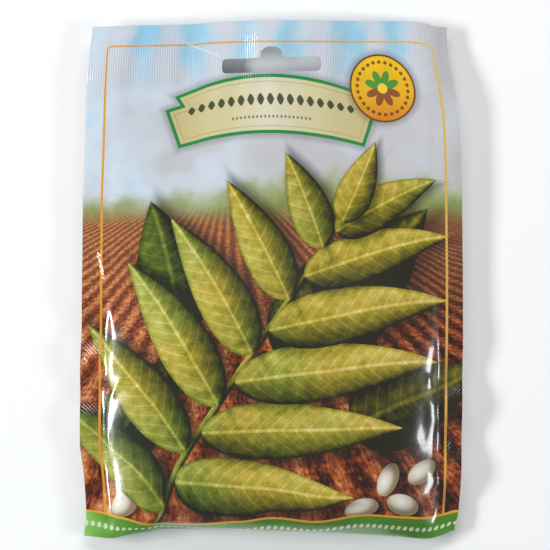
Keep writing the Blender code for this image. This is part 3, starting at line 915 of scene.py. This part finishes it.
def printed_band(tree, under, sheet):
    """The green band along the fold with its gold line and a row of small pale beads."""
    s, t = add(tree, PARTS, sheet).node.outputs[:2]
    shade = add(tree, NOISE, sheet, sockets={"Scale": 0.05, "Detail": 2.0})
    # Painted highlight: the band turns paler towards its left end.
    pale = add(tree, RANGE, s, -59.0, -50.0, 0.35, 0.0)
    shade = add(tree, MATH, "ADD", shade, pale)
    green = add(tree, RAMP, shade)
    stops(green, (0.35, "#417A1E"), (0.65, "#53932D"), (0.9, "#8CC75E"))
    band = add(tree, RANGE, t, BAND_TOP, BAND_TOP + 0.15, 1.0, 0.0)
    made = add(tree, MIX, **INK, sockets={0: band, 6: under, 7: green})
    line = off(tree, t, BAND_LINE)
    line = add(tree, RANGE, line, 0.30, 0.42, 1.0, 0.0)
    made = add(tree, MIX, **INK, sockets={0: line, 6: made, 7: colour("#E3A22C")})
    bead = beads(tree, s, BAND_PITCH)
    level = add(tree, MATH, "SUBTRACT", t, BAND_BEADS)
    level = add(tree, MATH, "MULTIPLY", level, 0.80)
    level = add(tree, MATH, "MULTIPLY", level, level)
    bead = add(tree, MATH, "SUBTRACT", bead, level)
    bead = add(tree, RANGE, bead, 0.45, 0.60, 0.0, 0.85)
    return add(tree, MIX, **INK, sockets={0: bead, 6: made, 7: colour("#D9E4C2")})


def film_finish(tree, sheet, ink):
    """Ink under glossy laminate: clear, even film with a faint waviness and fine handling marks."""
    # The clear film over the ink is slightly rippled, about 3 mm from crest to crest.
    ripple = add(tree, NOISE, sheet, sockets={"Scale": 0.33, "Detail": 2.0})
    fine = add(tree, NOISE, sheet, sockets={"Scale": 2.4, "Detail": 3.0})
    level = add(tree, MATH, "MULTIPLY_ADD", fine, 0.06, ripple)
    bump = add(tree, "ShaderNodeBump", sockets={"Strength": 0.10, "Distance": 0.0006, "Height": level})
    rough = add(tree, RANGE, fine, 0.3, 0.7, 0.20, 0.32)
    shader = add(tree, "ShaderNodeBsdfPrincipled", sockets={
        "Base Color": ink, "Roughness": rough, "IOR": 1.50, "Normal": bump,
        "Coat Weight": 1.0, "Coat Roughness": 0.09, "Coat IOR": 1.5})
    add(tree, "ShaderNodeOutputMaterial", shader)


def new_material(name):
    """An empty material with this name, and its node tree."""
    material = bpy.data.materials.new(name)
    material.use_nodes = True
    material.node_tree.nodes.clear()
    return material, material.node_tree


def printed_leaves(tree, under, sheet):
    """Prints every leaf over the colour under it, the lowest first."""
    leaf = printed_leaf()
    s = add(tree, PARTS, sheet)
    grain = add(tree, NOISE, sheet, sockets={"Scale": 0.30, "Detail": 6.0, "Roughness": 0.62})
    speck = add(tree, NOISE, sheet, sockets={"Scale": 2.6, "Detail": 2.0})
    grain = add(tree, MATH, "MULTIPLY_ADD", grain, 2.4, speck)
    grain = add(tree, MATH, "MULTIPLY_ADD", grain, 0.26, 0.08)
    laid = (0.0, 0.0, 0.0)
    for foot_s, foot_t, turn, length, half, bend, tone in LEAVES:
        laid = add(tree, "ShaderNodeGroup", node_tree=leaf, sockets={
            "Under": laid[0], "Cover": laid[1], "Shade": laid[2], "Sheet": sheet,
            "Grain": grain, "Foot": (foot_s, foot_t, 0.0),
            "Turn": (0.0, 0.0, math.radians(turn)), "Size": (length, half, 1.0),
            "Bend": bend, "Tone": tone, "Veins": length * 1.6}).node.outputs
    made = add(tree, MIX, **INK, sockets={0: laid[2], 6: under, 7: colour("#1E1610")})
    skin = add(tree, RAMP, laid[0])
    stops(skin, (0.0, "#1D1C08"), (0.2, "#46440C"), (0.4, "#756C14"), (0.56, "#9E8E26"),
          (0.72, "#C2AB42"), (0.88, "#DCC772"), (1.0, "#EFE2B4"))
    fresh = add(tree, RAMP, laid[0])
    stops(fresh, (0.0, "#131D09"), (0.2, "#334810"), (0.4, "#586F1E"), (0.56, "#808F34"),
          (0.72, "#A8B156"), (0.88, "#CCCF88"), (1.0, "#E8E6C4"))
    patch = add(tree, NOISE, sheet, sockets={"Scale": 0.028, "Detail": 1.0})
    patch = add(tree, MATH, "MULTIPLY_ADD", s, -0.0035, patch)
    patch = add(tree, RANGE, patch, 0.42, 0.66, 0.0, 0.75)
    skin = add(tree, MIX, **INK, sockets={0: patch, 6: skin, 7: fresh})
    return add(tree, MIX, **INK, sockets={0: laid[1], 6: made, 7: skin})


def seal_tint_and_painted_sheen(tree, under, sheet):
    """The top seal's tints: soft upright bands, blue and pale grey, that fade downwards. The bands are
    painted reflections over the printed blue, and a painted shade darkens the far right where the film
    curls.
    """
    s, t = add(tree, PARTS, sheet).node.outputs[:2]
    broad = add(tree, NOISE, sheet, sockets={"Scale": 0.05, "Detail": 2.0})
    # Painted reflections: soft upright bands, as the wavy ribbed seal would mirror the room.
    turn = add(tree, MATH, "MULTIPLY_ADD", s, 2 * math.pi / TINT_PITCH, 2.6)
    turn = add(tree, MATH, "MULTIPLY_ADD", broad, 4.0, turn)
    wave = add(tree, MATH, "SINE", turn)
    patch = add(tree, NOISE, sheet, sockets={"Scale": 0.11, "Detail": 2.5})
    wave = add(tree, MATH, "MULTIPLY_ADD", patch, 4.0, wave)
    tint = add(tree, RANGE, wave, 1.0, 3.3, 0.0, 1.0, **SOFT)
    fade = add(tree, RANGE, t, 141.0, 157.0, 0.15, 1.0, **SOFT)
    tint = add(tree, MATH, "MULTIPLY", tint, fade)
    edge = add(tree, MATH, "ABSOLUTE", s)
    edge = add(tree, RANGE, edge, 45.0, 52.0, 1.0, 0.15)
    tint = add(tree, MATH, "MULTIPLY", tint, edge)
    blue = add(tree, RAMP, tint)
    stops(blue, (0.0, "#CACED7"), (0.5, "#ACCEE0"), (1.0, "#90C6E0"))
    # Painted shade: the seal greys towards the far right, where its top corner curls.
    painted_curl_shade = add(tree, RANGE, s, 48.0, 57.0, 0.0, 0.7)
    blue = add(tree, MIX, **INK, sockets={0: painted_curl_shade, 6: blue, 7: colour("#AFA29F")})
    seal = add(tree, RANGE, t, 134.0, 146.0, 0.0, 0.9, **SOFT)
    return add(tree, MIX, **INK, sockets={0: seal, 6: under, 7: blue})


def fold_mark(tree, under, sheet):
    """A hair-thin white line beside the slot, where the film was once bent."""
    spot = add(tree, MAP, sheet, (-23.4, 154.2, 0.0), (0.0, 0.0, math.radians(-23.5)),
               (8.0, 0.14, 1.0), vector_type="TEXTURE")
    spot = add(tree, VECTOR, "ABSOLUTE", spot)
    along_line, across = add(tree, PARTS, spot).node.outputs[:2]
    far = add(tree, MATH, "MAXIMUM", along_line, across)
    mark = add(tree, RANGE, far, 0.6, 1.2, 0.55, 0.0)
    return add(tree, MIX, **INK, sockets={0: mark, 6: under, 7: colour("#F6FBFF")})


def front_film():
    """Reverse-printed polyester laminate: deep even colour under a clear, glassy surface."""
    material, tree = new_material("gravure printed polyester laminate, front")
    sheet = add(tree, "ShaderNodeUVMap", uv_map="Sheet")
    ink = printed_field(tree, sheet)
    ink = printed_seeds(tree, ink, sheet)
    ink = printed_leaves(tree, ink, sheet)
    ink = seal_tint_and_painted_sheen(tree, ink, sheet)
    ink = printed_panel(tree, ink, sheet)
    ink = printed_disc(tree, ink, sheet)
    ink = printed_line(tree, ink, sheet)
    ink = printed_band(tree, ink, sheet)
    ink = fold_mark(tree, ink, sheet)
    film_finish(tree, sheet, ink)
    return material


def printed_cells(tree, under, sheet):
    """The back's plain chart of twelve cells, each with a soft green bar."""
    away = add(tree, VECTOR, "SUBTRACT", sheet, CHART_CORNER)
    place = add(tree, VECTOR, "MULTIPLY", away, (1 / CELL_WIDTH, 1 / CELL_HEIGHT, 1.0))
    cell = add(tree, VECTOR, "FRACTION", place)
    x, y = add(tree, PARTS, cell).node.outputs[:2]
    across, level = add(tree, PARTS, place).node.outputs[:2]
    across = off(tree, across, HALF_ACROSS)
    level = off(tree, level, HALF_UP)
    wide = add(tree, RANGE, across, HALF_ACROSS, HALF_ACROSS + 0.02, 1.0, 0.0)
    tall = add(tree, RANGE, level, HALF_UP, HALF_UP + 0.02, 1.0, 0.0)
    chart = add(tree, MATH, "MULTIPLY", wide, tall)
    x = off(tree, x, 0.5)
    y = off(tree, y, 0.5)
    edge = add(tree, MATH, "MAXIMUM", x, y)
    line = add(tree, RANGE, edge, 0.46, 0.48, 0.0, 1.0)
    bar = add(tree, RANGE, y, 0.14, 0.20, 0.7, 0.0)
    tone = add(tree, MATH, "MAXIMUM", line, bar)
    tone = add(tree, MATH, "MULTIPLY", tone, chart)
    return add(tree, MIX, **INK, sockets={0: tone, 6: under, 7: colour("#7FA650")})


def back_film():
    """The same laminate behind: a pale printed ground with a green-barred chart."""
    material, tree = new_material("gravure printed polyester laminate, back")
    sheet = add(tree, "ShaderNodeUVMap", uv_map="Sheet")
    soft = add(tree, NOISE, sheet, sockets={"Scale": 0.02, "Detail": 2.0})
    ink = add(tree, RAMP, soft)
    stops(ink, (0.3, "#E9E6D6"), (0.7, "#F1EFE4"))
    ink = printed_cells(tree, ink, sheet)
    ink = seal_tint_and_painted_sheen(tree, ink, sheet)
    ink = printed_line(tree, ink, sheet)
    ink = printed_band(tree, ink, sheet)
    film_finish(tree, sheet, ink)
    return material


def seed_coat():
    """Dry bean seed coat: smooth, waxy and cream, with a faint warm mottle."""
    material, tree = new_material("dry bean seed coat, waxed cream")
    place = add(tree, "ShaderNodeTexCoord", out=3)
    mottle = add(tree, NOISE, place, sockets={"Scale": 420.0, "Detail": 4.0})
    skin = add(tree, RAMP, mottle)
    stops(skin, (0.3, "#CBB78F"), (0.6, "#E0D2AF"), (0.8, "#EADFC4"))
    shader = add(tree, "ShaderNodeBsdfPrincipled", sockets={
        "Base Color": skin, "Roughness": 0.42, "IOR": 1.46, "Coat Weight": 0.15,
        "Coat Roughness": 0.3, "Subsurface Weight": 0.1})
    add(tree, "ShaderNodeOutputMaterial", shader)
    return material


pattern = seal_pattern()
for name, is_front, film in (("printed_front", True, front_film()),
                             ("printed_back", False, back_film())):
    ply = film_mesh(name, is_front)
    # Ribs 0.8 mm apart across the top seal, hatch 0.85 mm apart and at 45 degrees down the sides.
    pressed(ply, pattern, film, **{
        "Rib pitch": 0.8, "Rib height": 0.14, "Rib start": 143.0, "Rib end": 159.3,
        "Hatch pitch": 1.2, "Hatch height": 0.12, "Hatch start": 52.2, "Hatch end": 59.7})
    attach(ply, "root")
    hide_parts("film")

coat = seed_coat()
for name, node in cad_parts.items():
    if name.startswith("bean_"):
        for slot in node.material_slots:
            slot.material = coat

# The photograph looks straight down; the floor is near white.
FLOOR_SIZE = 3.0
FLOOR_DROP = 0.0006
EYE_HEIGHT = 0.8
PICTURE_WIDTH = 0.17325
SENSOR_WIDTH = 36.0
bpy.ops.mesh.primitive_plane_add(size=FLOOR_SIZE, location=(0.0, 0.0, -FLOOR_DROP))
floor = bpy.context.object
floor.name = "floor"
paper, tree = new_material("matte white paper sweep")
shade = add(tree, "ShaderNodeBsdfPrincipled",
            sockets={"Base Color": colour("#F4F4F4"), "Roughness": 0.9})
add(tree, "ShaderNodeOutputMaterial", shade)
floor.data.materials.append(paper)

view = bpy.data.cameras.new("Camera")
view.sensor_width = SENSOR_WIDTH
view.lens = SENSOR_WIDTH * EYE_HEIGHT / PICTURE_WIDTH
camera = bpy.data.objects.new("Camera", view)
camera.location = (0.0011, 0.0015, EYE_HEIGHT)
bpy.context.scene.collection.objects.link(camera)
bpy.context.scene.camera = camera


def lamp(name, place, size, power, tint="#FFFFFF"):
    """A soft oblong light that faces the packet."""
    light = bpy.data.lights.new(name, "AREA")
    light.shape = "RECTANGLE"
    light.size = size[0]
    light.size_y = size[1]
    light.energy = power
    light.color = colour(tint)[:3]
    made = bpy.data.objects.new(name, light)
    made.location = place
    far = math.hypot(place[0], place[1])
    made.rotation_euler = (math.atan2(far, place[2]), 0.0,
                           math.atan2(place[1], place[0]) + math.pi / 2)
    bpy.context.scene.collection.objects.link(made)


# Each light's place and size in metres, its power in watts and its tint.
lamp("left strip", (-1.0, -0.01, 0.50), (0.56, 0.19), 11.2, "#F8FCFF")
lamp("right strip", (0.98, -0.20, 0.50), (0.38, 0.28), 4.4, "#F4F9FF")
lamp("window side", (0.05, 1.00, 0.75), (1.3, 0.3), 10.0)

world = bpy.data.worlds.new("studio")
world.use_nodes = True
world.node_tree.nodes["Background"].inputs["Color"].default_value = (1.0, 1.0, 1.0, 1.0)
world.node_tree.nodes["Background"].inputs["Strength"].default_value = 0.22
bpy.context.scene.world = world
bpy.context.scene.view_settings.view_transform = "Standard"
